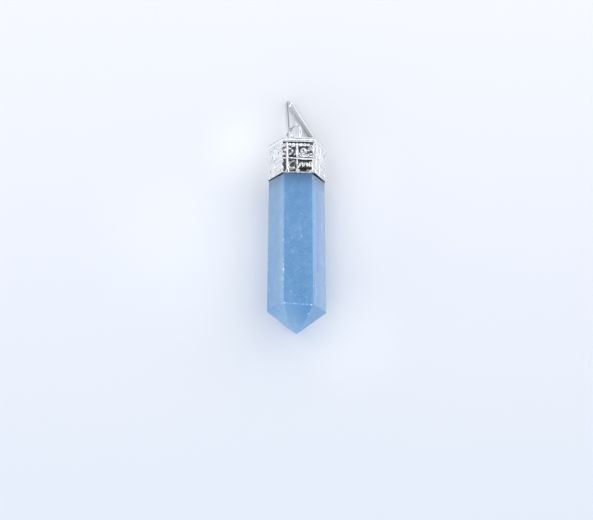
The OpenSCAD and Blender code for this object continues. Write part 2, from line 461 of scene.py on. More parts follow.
edit(crystal, "FACE")
pick(crystal, "polygons", lambda p, f: f.normal.z > 0.9)
taper = shank_half / shoulder_half
bpy.ops.transform.resize(value=(taper, taper, 1), center_override=(0, 0, 0))
seat_half = sheet_foot_half - SHEET_T - GLUE_GAP
bpy.ops.mesh.extrude_region_move()
seat = seat_half / shank_half
bpy.ops.transform.resize(value=(seat, seat, 1), center_override=(0, 0, 0))
bpy.ops.mesh.extrude_region_move(TRANSFORM_OT_translate={"value": (0, 0, SEAT_LEN - SEAT_BEVEL)})
bpy.ops.mesh.extrude_region_move(TRANSFORM_OT_translate={"value": (0, 0, SEAT_BEVEL)})
bevel_share = (seat_half - SEAT_BEVEL) / seat_half
bpy.ops.transform.resize(value=(bevel_share, bevel_share, 1), center_override=(0, 0, 0))

pick(crystal, "polygons", lambda p, f: f.normal.z < -0.9)
foot_z = -POINT_LEN - FOOT_SPARE
bpy.ops.mesh.extrude_region_move(TRANSFORM_OT_translate={"value": (0, 0, foot_z)})
widen = body_half(foot_z) / shoulder_half
bpy.ops.transform.resize(value=(widen, widen, 1), center_override=(0, 0, 0))
shoulder = [corner_place(corner, lift)[0] for corner, lift in enumerate(SHOULDER_LIFTS)]
for facet, depth in enumerate(FACET_DEPTHS):
    left, right = shoulder[facet], shoulder[(facet + 1) % SIDES]
    slope = (right - left).cross(Vector((0, 0, -depth)) - left).normalized()
    if slope.z > 0:
        slope.negate()
    bpy.ops.mesh.select_all(action="SELECT")
    bpy.ops.mesh.bisect(plane_co=left, plane_no=slope, use_fill=True, clear_outer=True)
bpy.ops.mesh.select_all(action="SELECT")
bpy.ops.mesh.remove_doubles(threshold=0.003)
bpy.ops.mesh.dissolve_limited(angle_limit=math.radians(0.2))
bpy.ops.object.mode_set(mode="OBJECT")
lowest = min(v.co.z for v in crystal.data.vertices)
print("the crystal has", len(crystal.data.vertices), "corners and its tip is at", round(lowest, 3))

# %% [markdown]
# Polished edges are never knife sharp, so all edges of the stone get a fine bevel. On a worn stone
# the edges are ground white here and there, so the bevel's faces get a finish of their own: the
# second slot. The edges of the point are fresh from the wheel and keep the finish of the faces.
# The third slot is for the small chips that come next.

# %% Soften the edges of the crystal
EDGE_SOFT = 0.08
EDGE_STEPS = 3
CLEAN_BELOW = -0.3
STONE_SLOT, WORN_AND_SHADED_SLOT, CHIP_SLOT = 0, 1, 2
stone_finishes = []
for name in ("milky_blue_stone", "worn_shaded_edge", "fresh_chip"):
    stone_finishes.append(bpy.data.materials.new(name))
    crystal.data.materials.append(stone_finishes[-1])
apply_modifier(crystal, "BEVEL", width=EDGE_SOFT, segments=EDGE_STEPS, limit_method="ANGLE",
               angle_limit=math.radians(20), material=WORN_AND_SHADED_SLOT)
for face in crystal.data.polygons:
    if face.material_index == WORN_AND_SHADED_SLOT and face.center.z < CLEAN_BELOW:
        face.material_index = STONE_SLOT
print("the bevelled crystal has", len(crystal.data.vertices), "corners")

# %% [markdown]
# Small chips break out of a hard edge as shallow shells. They could be sculpted, but a ball that
# only grazes the edge leaves just such a shell, and its place can be written down. So the chips
# that the photo shows are tables, and a few more are strewn along the edges that it hides.

# %% Places of the chips
CHIPS = [
    # corner of the body (0 is the front left), height above the shoulder, way along the face to
    # its left, radius, depth
    (0, 2.75, 0.10, 0.13, 0.04), (0, 3.82, 0.16, 0.27, 0.10), (0, 4.15, 0.24, 0.15, 0.03),
    (0, 4.90, 0.04, 0.14, 0.05), (0, 5.52, 0.16, 0.30, 0.10), (0, 5.90, 0.02, 0.14, 0.05),
    (0, 6.32, 0.10, 0.18, 0.05), (0, 7.10, 0.20, 0.11, 0.03),
    (0, 10.10, 0.24, 0.13, 0.04), (0, 10.30, 0.12, 0.15, 0.05), (0, 10.55, 0.0, 0.13, 0.04),
    (0, 12.20, 0.16, 0.12, 0.03), (0, 12.55, 0.06, 0.10, 0.03),
    (1, 2.90, 0.0, 0.15, 0.05), (1, 9.20, 0.0, 0.11, 0.03), (1, 14.6, 0.0, 0.10, 0.03),
]
SHOULDER_CHIPS = [
    # across the front, radius, depth
    (-2.05, 0.20, 0.08), (-1.75, 0.16, 0.05), (-0.65, 0.20, 0.07), (-0.35, 0.17, 0.06),
    (0.70, 0.14, 0.04), (1.30, 0.18, 0.07), (1.95, 0.24, 0.10),
]
TIP_CHIPS = [
    # corner of the body, share of the way from it to the tip, radius, depth
    (1, 0.30, 0.17, 0.06), (5, 0.34, 0.15, 0.05),
]
PITS = [
    # across the front, height above the shoulder, radius, depth
    (-1.12, 1.93, 0.11, 0.05), (0.41, 5.15, 0.07, 0.03), (-0.95, 10.5, 0.07, 0.025),
]
HIDDEN_CHIPS = 22
HIDDEN_CORNERS = (2, 3, 4, 5)
HIDDEN_HEIGHTS, HIDDEN_RADII, HIDDEN_DEPTHS = (0.3, 20), (0.12, 0.24), (0.03, 0.08)
print("chips in sight:", len(CHIPS) + len(SHOULDER_CHIPS) + len(TIP_CHIPS) + len(PITS))

# %% [markdown]
# Each ball is uneven and turned by chance, so no two shells are alike. The balls are joined and cut
# in one boolean, and the faces that they leave keep the material of the balls, so every chip is
# white inside.

# %% Chip the edges
CHIP_SEED = 11
UNEVEN_BALL = (0.8, 1.25)
ANY_TURN = (0, 6.3)
FRONT_HALF = 2.25
SHOULDER_WAY = Vector((0, -0.9, -0.44))
TIP_WAY_ASIDE, TIP_WAY_DOWN = 0.6, Vector((0, 0, -0.8))
chance = random.Random(CHIP_SEED)


def chip_ball(edge, way_out, radius, depth):
    """An uneven ball that reaches a little way into the stone."""
    bpy.ops.mesh.primitive_ico_sphere_add(
        subdivisions=2, radius=radius, location=edge + way_out * (radius - depth),
        rotation=[chance.uniform(*ANY_TURN) for _ in range(3)])
    ball = bpy.context.object
    ball.scale = [chance.uniform(*UNEVEN_BALL) for _ in range(3)]
    ball.data.materials.append(stone_finishes[CHIP_SLOT])
    return ball


bpy.ops.object.select_all(action="DESELECT")
balls = []
for corner, z, to_left, radius, depth in CHIPS:
    edge, way_out = corner_place(corner, z)
    left_way = (corner_place(corner - 1, z)[0] - edge).normalized()
    balls.append(chip_ball(edge + to_left * left_way, way_out, radius, depth))
for across, radius, depth in SHOULDER_CHIPS:
    share = (across + FRONT_HALF) / (2 * FRONT_HALF)
    lift = SHOULDER_LIFTS[0] + (SHOULDER_LIFTS[1] - SHOULDER_LIFTS[0]) * share
    balls.append(chip_ball(Vector((across, -shoulder_half, lift)), SHOULDER_WAY, radius, depth))
tip = min((v.co for v in crystal.data.vertices), key=lambda place: place.z).copy()
for corner, share, radius, depth in TIP_CHIPS:
    way_out = (corner_place(corner, 0)[1] * TIP_WAY_ASIDE + TIP_WAY_DOWN).normalized()
    balls.append(chip_ball(shoulder[corner].lerp(tip, share), way_out, radius, depth))
for across, z, radius, depth in PITS:
    balls.append(chip_ball(Vector((across, -body_half(z), z)), Vector((0, -1, 0)), radius, depth))
for _ in range(HIDDEN_CHIPS):
    edge, way_out = corner_place(chance.choice(HIDDEN_CORNERS), chance.uniform(*HIDDEN_HEIGHTS))
    radius, depth = chance.uniform(*HIDDEN_RADII), chance.uniform(*HIDDEN_DEPTHS)
    balls.append(chip_ball(edge, way_out, radius, depth))
only(balls[0])
for ball in balls:
    ball.select_set(True)
bpy.ops.object.join()
cutter = bpy.context.object
bpy.ops.object.transform_apply(location=True, rotation=True, scale=True)
apply_modifier(crystal, "BOOLEAN", operation="DIFFERENCE", solver="EXACT", use_self=True, object=cutter)
bpy.data.objects.remove(cutter)
only(crystal)
bpy.ops.object.shade_smooth_by_angle(angle=math.radians(14))
print(len(balls), "chips, slots in use:", sorted({f.material_index for f in crystal.data.polygons}))

# %% [markdown]
# The stone is milky: light enters it, wanders about and comes out softly. A plain blue would look
# like plastic, so the colour is built up as it grew in the stone. Pale veils run lengthwise, with
# small clouds and a fine grain all over. A few thin healed cracks, the wisps, catch the light, and
# a dark line runs along the right front edge. Each is laid over the last one by its own share.

# %% The pattern inside the stone
STONE_DEEP = (0.131, 0.330, 0.597, 1)
STONE_PALE = (0.178, 0.390, 0.640, 1)
STONE_SHADED = (0.085, 0.190, 0.345, 1)
STONE_WHITE = (0.80, 0.87, 0.95, 1)
# A noise has five values: its stretch along the stone, its scale and detail, and the levels where
# it starts and is full.
VEILS = (0.25, 300, 4, 0.30, 0.74)
CLOUDS, CLOUDS_SHARE = (0.8, 1100, 3, 0.45, 0.80), 0.09
GRAIN, GRAIN_SHARE = (0.9, 6500, 2, 0.42, 0.72), 0.14
FEATHER = (0.35, 2600, 3, 0.22, 0.55)
WISPS = [
    # middle x and y in millimetres, length, width, turn, share
    ((0.24, -4.00), 3.1, 0.20, 8, 0.62),
    ((0.50, -5.40), 1.2, 0.34, 8, 0.50),
    ((0.36, -1.70), 0.8, 0.22, 20, 0.40),
    ((-0.92, -5.55), 0.6, 0.18, -42, 0.80),
    ((-1.50, -6.35), 0.8, 0.14, 80, 0.50),
    ((-0.85, -7.90), 1.1, 0.80, 20, 0.25),
    ((-1.55, -2.90), 0.9, 0.20, 10, 0.40),
]
# a dark line along the right front edge
EDGE_DARK_LINE, EDGE_DARK_LINE_SHARE = ((2.36, -13.9), 9.5, 0.32, -0.4), 0.75


def stone_pattern(nodes, links, place, depth):
    """The colour inside the stone, from its veils to the dark line by its right front edge."""
    deep = tuple(depth * part for part in STONE_DEEP[:3]) + (1,)
    colour = tint(nodes, links, deep, stone_noise(nodes, links, place, *VEILS), STONE_PALE)
    for noise_values, share in ((CLOUDS, CLOUDS_SHARE), (GRAIN, GRAIN_SHARE)):
        amount = stone_noise(nodes, links, place, *noise_values)
        colour = layer(nodes, links, colour, amount, share, STONE_WHITE)
    feather = stone_noise(nodes, links, place, *FEATHER)
    for *wisp, share in WISPS:
        wispy = times(nodes, links, streak(nodes, links, place, *wisp), feather)
        colour = layer(nodes, links, colour, wispy, share, STONE_WHITE)
    edge_dark_line = streak(nodes, links, place, *EDGE_DARK_LINE)
    return layer(nodes, links, colour, edge_dark_line, EDGE_DARK_LINE_SHARE, STONE_SHADED)


print("the stone has", len(WISPS), "wisps")

# %% [markdown]
# The colour also changes from place to place, mostly by painted light and shade. The long faces
# are painted lighter on the right, where more light falls, and painted light gathers in a soft glow
# beside both front edges. The point is thin, so it is painted a little paler, as light shining
# through, but it is painted deeper to the right, as shade. Under the cap the stone is darker, painted
# shade because the cap keeps the light out, and a little grey dust lies there with more painted
# shade. All of this follows the place alone, so the same steps serve the faces, the worn edges and
# the chips.

# %% Painted light and shade on the stone, and dust under the cap
STONE_DUST_AND_SHADE = (0.17, 0.22, 0.30, 1)
# Each pair of places, in millimetres, says where a change starts and where it is full.
ABOVE_SHOULDER, BELOW_SHOULDER = (-0.2, 0.2), (0.1, -0.3)
# painted light: the long faces lighter on the right
RIGHT_SIDE_LIGHT, RIGHT_SIDE_LIGHT_SHARE = (2.1, 4.0), 0.17
GLOW_STARTS, GLOW_ENDS, GLOW_SHARE = (2.16, 2.34), (3.10, 2.40), 0.10
# painted light: the thin point paler
TIP_LIGHT_SHARE = 0.13
# painted shade: the point deeper on its right
TIP_RIGHT_SHADE, TIP_RIGHT_SHADE_SHARE = (-1.6, 1.8), 0.80
# painted shade under the cap
CAP_SHADES = [((-2.3, 0), 0.85), ((-11, -1), 0.09)]
# grey dust under the cap, mottled with painted shade
DUST_AND_SHADE_PLACE, DUST_AND_SHADE_NOISE, DUST_AND_SHADE_SHARE = (-4.5, 0), (1.0, 3200, 3, 0.50, 0.72), 0.55
cap_foot_y = shoulder_y + SHANK_LEN * MM


def change(nodes, links, value, start, places, side=1):
    """A soft step between two places, given in millimetres from a start."""
    return fade(nodes, links, value, *[start + side * place * MM for place in places])


def stone_places(nodes, links, place, colour):
    """Lays painted light and shade, and dust, on the colour by the place on the stone."""
    split = nodes.new("ShaderNodeSeparateXYZ")
    links.new(place, split.inputs["Vector"])
    across, along = split.outputs["X"], split.outputs["Y"]
    above_shoulder = change(nodes, links, along, shoulder_y, ABOVE_SHOULDER)
    right_side_light = times(nodes, links, change(nodes, links, across, 0, RIGHT_SIDE_LIGHT), above_shoulder)
    colour = layer(nodes, links, colour, right_side_light, RIGHT_SIDE_LIGHT_SHARE, STONE_WHITE)
    for side in (-1, 1):
        starts = change(nodes, links, across, 0, GLOW_STARTS, side)
        ends = change(nodes, links, across, 0, GLOW_ENDS, side)
        glow = times(nodes, links, times(nodes, links, starts, ends), above_shoulder)
        colour = layer(nodes, links, colour, glow, GLOW_SHARE, STONE_WHITE)
    tip_light = fade(nodes, links, along, shoulder_y, tip_y)
    colour = layer(nodes, links, colour, tip_light, TIP_LIGHT_SHARE, STONE_WHITE)
    below_shoulder = change(nodes, links, along, shoulder_y, BELOW_SHOULDER)
    # painted shade: the point deeper on its right
    clear = times(nodes, links, change(nodes, links, across, 0, TIP_RIGHT_SHADE), below_shoulder)
    colour = layer(nodes, links, colour, clear, TIP_RIGHT_SHADE_SHARE, STONE_DEEP)
    for places, share in CAP_SHADES:
        shade = change(nodes, links, along, cap_foot_y, places)
        colour = layer(nodes, links, colour, shade, share, STONE_SHADED)
    dust_and_shade = change(nodes, links, along, cap_foot_y, DUST_AND_SHADE_PLACE)
    dust_and_shade = times(nodes, links, dust_and_shade, stone_noise(nodes, links, place, *DUST_AND_SHADE_NOISE))
    return layer(nodes, links, colour, dust_and_shade, DUST_AND_SHADE_SHARE, STONE_DUST_AND_SHADE)


print("the foot of the cap is at y =", round(cap_foot_y / MM, 2), "mm")

# %% [markdown]
# One recipe makes the three finishes of the crystal. They differ in how much of the surface is
# ground white and in their polish: the faces are glassy, the worn edges are rough, and the chips
# are white like frosted glass. The worn edges are also a little deeper in colour: painted shade, so
# that their bevel shows no light line. Milkiness is subsurface scattering, which reaches further for
# blue light than for red. A high index of refraction gives the faces the strong shine of a hard polish.

# %% The three finishes of the crystal
MILKINESS, MILK_RADII, MILK_REACH = 0.8, (0.5, 0.8, 1.0), 0.0015
SCRATCHES = (4200, 4, 0.12, 0.00003)
GROUND = (0.5, 1700, 3)
STONE_FINISHES = [
    # depth of the colour, white starts and is full at, roughness, index of refraction
    (1.0, 0.74, 0.80, 0.14, 2.05),
    # the worn edges: more ground white, and a deeper colour that is painted shade
    (0.80, 0.62, 0.76, 0.50, 1.38),
    (1.0, 0.24, 0.60, 0.45, 1.55),
]


def make_stone(finish, depth, white_low, white_high, roughness, refraction):
    """The milky blue stone, ground white where a fine noise lies above a level."""
    finish.use_nodes = True
    nodes, links = finish.node_tree.nodes, finish.node_tree.links
    shader = nodes["Principled BSDF"]
    place = nodes.new("ShaderNodeTexCoord").outputs["Object"]
    colour = stone_pattern(nodes, links, place, depth)
    colour = stone_places(nodes, links, place, colour)
    ground = stone_noise(nodes, links, place, *GROUND, white_low, white_high)
    links.new(tint(nodes, links, colour, ground, STONE_WHITE), shader.inputs["Base Color"])
    shader.inputs["Roughness"].default_value = roughness
    shader.inputs["IOR"].default_value = refraction
    shader.inputs["Subsurface Weight"].default_value = MILKINESS
    shader.inputs["Subsurface Radius"].default_value = MILK_RADII
    shader.inputs["Subsurface Scale"].default_value = MILK_REACH
    links.new(fine_bump(nodes, links, place, *SCRATCHES), shader.inputs["Normal"])


for finish, row in zip(stone_finishes, STONE_FINISHES):
    make_stone(finish, *row)
    print(finish.name, "has", len(finish.node_tree.nodes), "nodes")
finish_piece(crystal, "crystal_point", ["crystal"])

# %% [markdown]
# The metal is one finish on three pieces. Silver plate is bright and a little uneven: it has fine
# hairlines from polishing, cloudy patches where it has begun to dull, and grey tarnish where no
# cloth reaches. The same grey also paints shade and dark reflections. Where these lie depends on the
# shape of each piece, so each piece marks them on its mesh, in an attribute that the finish reads.
# The ring and the strip get a copy that is a trace greyer: painted shade, so that they show as grey.

# %% Silver plate
SILVER_BRIGHT = (0.97, 0.965, 0.965, 1)
# painted shade: the silver of the ring and the strip is a trace greyer
WIRE_SILVER_SHADED = (0.93, 0.935, 0.95, 1)
# the grey of tarnish and of painted shade and dark reflections
SILVER_TARNISH_AND_SHADE = (0.075, 0.078, 0.10, 1)
DULL_GRAIN, DULL_LEVELS = (900, 4), (0.35, 0.70)
POLISHED, DULL = 0.05, 0.16
HAIRLINES = (5200, 3, 0.50, 0.00003)


def make_silver(name, bright):
    """Silver plate, grey where the mesh marks tarnish and painted shade."""
    finish = bpy.data.materials.new(name)
    finish.use_nodes = True
    nodes, links = finish.node_tree.nodes, finish.node_tree.links
    shader = nodes["Principled BSDF"]
    shader.inputs["Metallic"].default_value = 1.0
    place = nodes.new("ShaderNodeTexCoord").outputs["Object"]
    tarnish_and_shade_mark = nodes.new("ShaderNodeAttribute")
    tarnish_and_shade_mark.attribute_name = "tarnish_and_shade"
    colour = tint(nodes, links, bright, tarnish_and_shade_mark.outputs["Fac"], SILVER_TARNISH_AND_SHADE)
    links.new(colour, shader.inputs["Base Color"])
    clouds = grain(nodes, links, place, *DULL_GRAIN)
    roughness = spread(nodes, links, clouds, DULL_LEVELS, (POLISHED, DULL))
    links.new(roughness, shader.inputs["Roughness"])
    links.new(fine_bump(nodes, links, place, *HAIRLINES), shader.inputs["Normal"])
    return finish


silver = make_silver("silver_plate", SILVER_BRIGHT)
shaded_wire_silver = make_silver("shaded_grey_silver", WIRE_SILVER_SHADED)
print("finishes of the metal:", silver.name, "and", shaded_wire_silver.name)

# %% [markdown]
# The cap is one sheet of silver-plated metal, pressed in a die. Its ground is flat and mirrors the
# dark ceiling, while borders, ribs, a rosette and small scrolls stand a tenth of a millimetre proud
# and catch the bright walls. That contrast is the whole look of the cap, so the relief is real
# geometry: an open six-sided wall is divided into a fine net, and the die is then pressed into it.

# %% The wall of the cap
WALL_COLUMNS = 84
WALL_ROWS = 100
NEAR = 0.001
wall_head_z = cap_foot_z + wall_len

bpy.ops.object.select_all(action="DESELECT")
bpy.ops.mesh.primitive_cylinder_add(
    vertices=SIDES, radius=sheet_foot_half * across_corners, depth=wall_len, end_fill_type="NOTHING",
    location=(0, 0, cap_foot_z + wall_len / 2), rotation=(0, 0, math.radians(30)))
cap = bpy.context.object
bpy.ops.object.transform_apply(location=True, rotation=True, scale=True)


def is_upright(place, edge):
    """Passes the edges that run up the wall of the cap."""
    low, high = [cap.data.vertices[i].co.z for i in edge.vertices]
    return abs(low - high) > NEAR


def is_level(place, edge):
    """Passes the edges that run around the cap."""
    return not is_upright(place, edge)


edit(cap)
pick(cap, "vertices", lambda p, v: p.z > wall_head_z - NEAR)
flare = sheet_head_half / sheet_foot_half
bpy.ops.transform.resize(value=(flare, flare, 1), center_override=(0, 0, 0))
edit(cap, "EDGE")
pick(cap, "edges", is_upright)
bpy.ops.mesh.subdivide(number_cuts=WALL_ROWS - 1)
edit(cap, "EDGE")
pick(cap, "edges", is_level)
bpy.ops.mesh.subdivide(number_cuts=WALL_COLUMNS - 1)
bpy.ops.object.mode_set(mode="OBJECT")
print("the wall has", len(cap.data.polygons), "small faces")

# %% [markdown]
# A die is cut with a few kinds of stroke. Each is written once, as the height it gives at a place
# (u, v) of a face, in millimetres to the right of its middle and above its foot. All are rounded,
# because a rounded stroke shows a bright line on each flank, and a square one shows nothing. Only
# the rosette is a cone, so that its whole disc leans a little and mirrors neither dark nor bright.

# %% Strokes of the die
CONE_POWER = 1.3
VEIN_HALF, VEIN_DEPTH = 0.16, 0.5


def ridge(away, half_width, height=1.0):
    """A rounded ridge, from the distance of each place to its middle line."""
    return height * np.clip(1 - (away / half_width) ** 2, 0, 1)


def dome(u, v, middle_u, middle_v, radius, height=1.0):
    """A round button."""
    return ridge(np.hypot(u - middle_u, v - middle_v), radius, height)


def cone(u, v, middle_u, middle_v, radius, height=1.0):
    """A button that rises nearly evenly to its middle, with only a small blunt top."""
    away = np.hypot(u - middle_u, v - middle_v)
    return height * np.clip(1 - (away / radius) ** CONE_POWER, 0, 1)


def stroke(u, v, start, end, half_width, height=1.0):
    """A straight ridge between two places, with round ends."""
    along_u, along_v = end[0] - start[0], end[1] - start[1]
    share = ((u - start[0]) * along_u + (v - start[1]) * along_v) / (along_u ** 2 + along_v ** 2)
    share = np.clip(share, 0, 1)
    away = np.hypot(u - start[0] - share * along_u, v - start[1] - share * along_v)
    return ridge(away, half_width, height)


def arch(u, v, middle_u, middle_v, radius, start, sweep, half_width, height=1.0):
    """A ridge along an arc, from a start angle through a sweep in degrees."""
    past = (np.degrees(np.arctan2(v - middle_v, u - middle_u)) - start) % 360
    past = np.where(past > 180 + sweep / 2, 0, np.minimum(past, sweep))
    turn = np.radians(start + past)
    away = np.hypot(u - middle_u - radius * np.cos(turn), v - middle_v - radius * np.sin(turn))
    return ridge(away, half_width, height)


def leaf(u, v, middle_u, middle_v, length, width, turn, height=1.0):
    """An almond-shaped leaf with a sunk vein, turned by an angle in degrees."""
    cos, sin = math.cos(math.radians(turn)), math.sin(math.radians(turn))
    along = ((u - middle_u) * cos + (v - middle_v) * sin) / (length / 2)
    across = ((v - middle_v) * cos - (u - middle_u) * sin) / (width / 2)
    room = np.clip(1 - along ** 2, 0.001, 1)
    body = np.clip(1 - (across / room) ** 2, 0, 1) * np.sqrt(room)
    vein = VEIN_DEPTH * np.exp(-(across / VEIN_HALF) ** 2) * (body > 0)
    return height * np.clip(body - vein, 0, 1)


def rises(value, low, high):
    """A smooth step from 0 at the low value to 1 at the high one."""
    share = np.clip((value - low) / (high - low), 0, 1)
    return share * share * (3 - 2 * share)


print("half way out a ridge is", round(float(ridge(0.5, 1)), 2), "high")
print("half way out a cone is", round(float(cone(0.5, 0, 0, 0, 1)), 2), "high")

# %% [markdown]
# One face of the cap holds a whole repeat of the ornament, traditional work of the silversmith's
# trade: upright ribs, a border at the foot, the middle and the head, a row of scallops, a domed
# rosette among leaves, small scrolls and a double arch. The places are short tables. Old dies are
# worn and cut by eye, so no stroke is quite as wide as the next, and a few soft bulges lie between.

# %% The ornament of one face
RIBS = [
    # u, half width, extra width of its belly, v of the belly
    (-1.72, 0.17, 0.10, 0.15),
    (-0.20, 0.09, 0.13, 3.40),
    (2.34, 0.15, 0.04, 1.20),
]
RIB_WAVE, RIB_WAVE_RATE, BELLY_FALL = 0.14, 5, 4
SCALLOP_FROM, SCALLOP_PITCH, SCALLOPS = -1.30, 0.56, 6
SCALLOP_V, SCALLOP_R, SCALLOP_H = 4.50, 0.235, 0.85
SCALLOP_UNEVEN, SCALLOP_BEAT = 0.16, 2.3
LEAVES = [
    # middle u, middle v, length, width, turn, height
    (0.46, 2.80, 0.60, 0.36, -100, 0.9),
    (0.86, 2.72, 0.56, 0.34, -80, 0.9),
    (1.26, 2.76, 0.58, 0.36, -62, 0.9),
    (1.66, 2.86, 0.62, 0.38, -48, 0.9),
    (0.12, 3.02, 0.50, 0.30, -135, 0.8),
    (1.60, 3.76, 0.66, 0.42, -34, 1.0),
    (1.92, 4.22, 0.70, 0.46, 70, 0.9),
    (1.98, 2.88, 0.90, 0.60, 24, 0.9),
    (-0.08, 0.38, 0.66, 0.46, 8, 0.9),
    (1.90, 1.48, 0.94, 0.56, 84, 1.0),
]
DOMES = [
    # middle u, middle v, radius, height
    (0.75, 2.00, 0.33, 0.30),
    (-0.02, 2.58, 0.20, 0.8),
    (-0.92, 3.57, 0.13, 0.7),
    (-0.69, 0.84, 0.15, 0.5),
    (-0.04, 0.96, 0.18, 0.7),
    (1.54, 0.50, 0.15, 0.6),
    (2.04, 0.34, 0.24, 0.8),
    (2.02, 3.66, 0.22, 0.7),
    (-2.14, 4.40, 0.26, 0.6),
    (-2.10, 3.62, 0.22, 0.5),
    (-2.16, 2.98, 0.20, 0.5),
    (-1.28, 2.98, 0.15, 0.5),
]
ARCHES = [
    # middle u, middle v, radius, start, sweep, half width, height
    (-1.28, 3.46, 0.38, -80, 90, 0.10, 0.45),
    (-1.12, 1.20, 0.42, 110, 180, 0.09, 0.4),
    (0.50, 1.20, 0.30, 0, 180, 0.15, 0.6),
    (1.16, 1.22, 0.30, 0, 180, 0.15, 0.6),
]
STROKES = [
    # start, end, half width, height
    ((-1.50, 3.92), (-1.18, 3.88), 0.10, 0.6),
    ((-0.96, 4.24), (-0.58, 4.26), 0.11, 0.8),
    ((-1.46, 0.45), (-1.00, 0.55), 0.09, 0.3),
    ((-0.60, 2.75), (-0.52, 3.05), 0.07, 0.4),
    ((-1.42, 1.75), (-0.70, 1.90), 0.08, 0.3),
]
ROSETTE = (0.80, 3.52, 0.56, 1.0)
PANEL_FOOT, PANEL_HEAD = (0.02, 0.12), (4.70, 4.86)
FOOT_BEAD = (0.06, 0.13)
MIDDLE_V, MIDDLE_HALF, MIDDLE_H = 2.37, 0.08, 0.9
MIDDLE_WAVE, MIDDLE_WAVE_RATE = 0.03, 4
SWELLING, SWELLING_SAG, SWELLING_FROM, SWELLING_TO = 0.06, 0.08, -0.2, 0.7
HEAD_FROM, HEAD_TO = 4.98, 5.12
print("the die has", len(LEAVES) + len(DOMES) + len(ARCHES) + len(STROKES), "small strokes")

# %% [markdown]
# The strokes are laid over each other and the highest one counts at each place, as in a real die,
# where the deepest cut is what shows. The middle border isn't quite level, and it swells to the
# right, as on the photo.


# %% The die of one face
def die(u, v):
    """Height of the pressed pattern at a place of a face, as a share of the relief."""
    high = np.zeros_like(u)
    in_panel = rises(v, *PANEL_FOOT) * (1 - rises(v, *PANEL_HEAD))
    for rib_u, half_width, belly, belly_v in RIBS:
        wavy = half_width * (1 + RIB_WAVE * np.sin(RIB_WAVE_RATE * v + 3 * rib_u))
        wavy += belly * np.exp(-BELLY_FALL * (v - belly_v) ** 2)
        high = np.maximum(high, ridge(u - rib_u, wavy) * in_panel)
    for index in range(SCALLOPS):
        scallop_u = SCALLOP_FROM + index * SCALLOP_PITCH
        uneven = 1 + SCALLOP_UNEVEN * math.sin(SCALLOP_BEAT * index)
        scallop = dome(u, v, scallop_u, SCALLOP_V, SCALLOP_R * uneven, SCALLOP_H * uneven)
        high = np.maximum(high, scallop)
    for row in LEAVES:
        high = np.maximum(high, leaf(u, v, *row))
    for row in DOMES:
        high = np.maximum(high, dome(u, v, *row))
    high = np.maximum(high, cone(u, v, *ROSETTE))
    for row in ARCHES:
        high = np.maximum(high, arch(u, v, *row))
    for row in STROKES:
        high = np.maximum(high, stroke(u, v, *row))
    high = np.maximum(high, ridge(v - FOOT_BEAD[0], FOOT_BEAD[1]))
    to_right = rises(u, SWELLING_FROM, SWELLING_TO)
    bead_v = MIDDLE_V - SWELLING_SAG * to_right + MIDDLE_WAVE * np.sin(MIDDLE_WAVE_RATE * u)
    high = np.maximum(high, ridge(v - bead_v, MIDDLE_HALF + SWELLING * to_right, MIDDLE_H))
    return np.maximum(high, rises(v, HEAD_FROM, HEAD_TO))


rosette_u, rosette_v = np.array(ROSETTE[:1]), np.array(ROSETTE[1:2])
print("the middle of the rosette stands", float(die(rosette_u, rosette_v)[0]), "of the relief")

# %% [markdown]
# A net this fine can't be shaped by hand, point by point. Its points are read as an array, moved by
# a formula and given back. Thin sheet is never quite even, so there is also a helper for soft bumps.


# %% Points of a mesh as an array
def points_of(piece):
    """All corner places of a piece, as an array."""
    flat = np.empty(3 * len(piece.data.vertices))
    piece.data.vertices.foreach_get("co", flat)
    return flat.reshape(-1, 3)


def put_points(piece, points):
    """Gives a piece new corner places."""
    piece.data.vertices.foreach_set("co", points.ravel())
    piece.data.update()


def bumps(points, sizes):
    """Soft bumps at all points, as a sum of noises that each have a share and a rate."""
    return np.array([
        sum(share * noise.noise(rate * Vector(place)) for share, rate in sizes)
        for place in points.tolist()])


print("the wall has", len(points_of(cap)), "points")

# %% [markdown]
# The die is drawn flat, so each point of the wall is first looked up on its own face. Its distance
# out is the one from the axis to the flat sheet. The drawing isn't quite symmetric on the face, as
# the photo shows.

# %% Where a point lies on its face
DRAWN_LEFT, DRAWN_RIGHT = 2.42, 2.55
face_turns = np.radians(60 * np.arange(SIDES))
outward = np.stack([np.sin(face_turns), -np.cos(face_turns)])
sideways = np.stack([np.cos(face_turns), np.sin(face_turns)])


def on_face(points):
    """Where points lie on their own face: u, v, its number, its distance out and half its width."""
    away = points[:, :2] @ outward
    face = np.argmax(away, axis=1)
    v = points[:, 2] - cap_foot_z
    half = sheet_foot_half + (sheet_head_half - sheet_foot_half) * v / wall_len
    face_half = half * math.tan(math.pi / SIDES)
    u = np.sum(points[:, :2] * sideways[:, face].T, axis=1)
    return u, v, face, half, face_half


def drawn_place(u, face_half):
    """Where a place of a face lies in the drawing, which is a little wider to the right."""
    share = u / face_half
    return share * np.where(share < 0, DRAWN_LEFT, DRAWN_RIGHT)


print("one face in the drawing is", DRAWN_LEFT + DRAWN_RIGHT, "mm wide")

# %% [markdown]
# Pressing moves each point of the net outward by the height of the die there. The corners of the
# sheet are bent round a small radius, not folded sharp. That rounding is a soft maximum of the six
# distances to the faces: the lower its sharpness, the rounder the corner.

